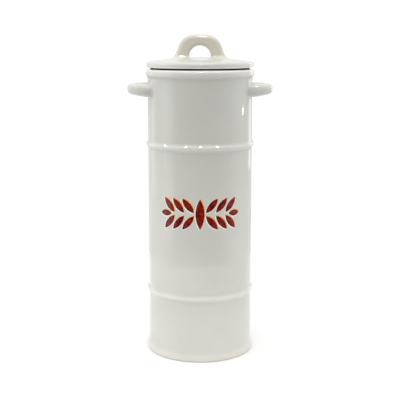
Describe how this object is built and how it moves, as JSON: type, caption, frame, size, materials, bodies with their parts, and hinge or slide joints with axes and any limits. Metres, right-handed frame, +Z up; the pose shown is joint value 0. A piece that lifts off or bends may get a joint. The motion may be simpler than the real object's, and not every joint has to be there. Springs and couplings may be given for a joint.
{
  "type": "food canister",
  "caption": "Tall glazed ceramic canister for long pasta with raised rings, ear handles, and a domed lift-off lid with a loop handle and a soft seal.",
  "frame": {"origin": "centre of the foot ring's contact plane, on the canister's axis", "axes": "+Z up along the axis; ear handles on +X and -X; the printed front faces -Y"},
  "size_m": [0.1396, 0.1044, 0.3083],
  "materials": {
    "glaze": "glossy off-white glaze",
    "seal": "matt near-black soft seal",
    "print_red": "deep red fired print",
    "print_ochre": "ochre fired print"
  },
  "bodies": {
    "canister": {"vessel": "glaze", "left_ear_handle": "glaze", "right_ear_handle": "glaze", "motif_print": "print_red", "motif_shade": "print_ochre"},
    "seal": {"seal_ring": "seal"},
    "lid": {"lid": "glaze", "lid_loop_handle": "glaze"}
  },
  "joints": [
    {"name": "lid_lift", "type": "slide", "parent": "canister", "child": "seal", "axis": [0, 0, 1], "range_m": [0, 0.12]},
    {"name": "lid_turn", "type": "hinge", "parent": "seal", "child": "lid", "pos_m": [0, 0, 0.2769], "axis": [0, 0, 1], "continuous": true}
  ]
}
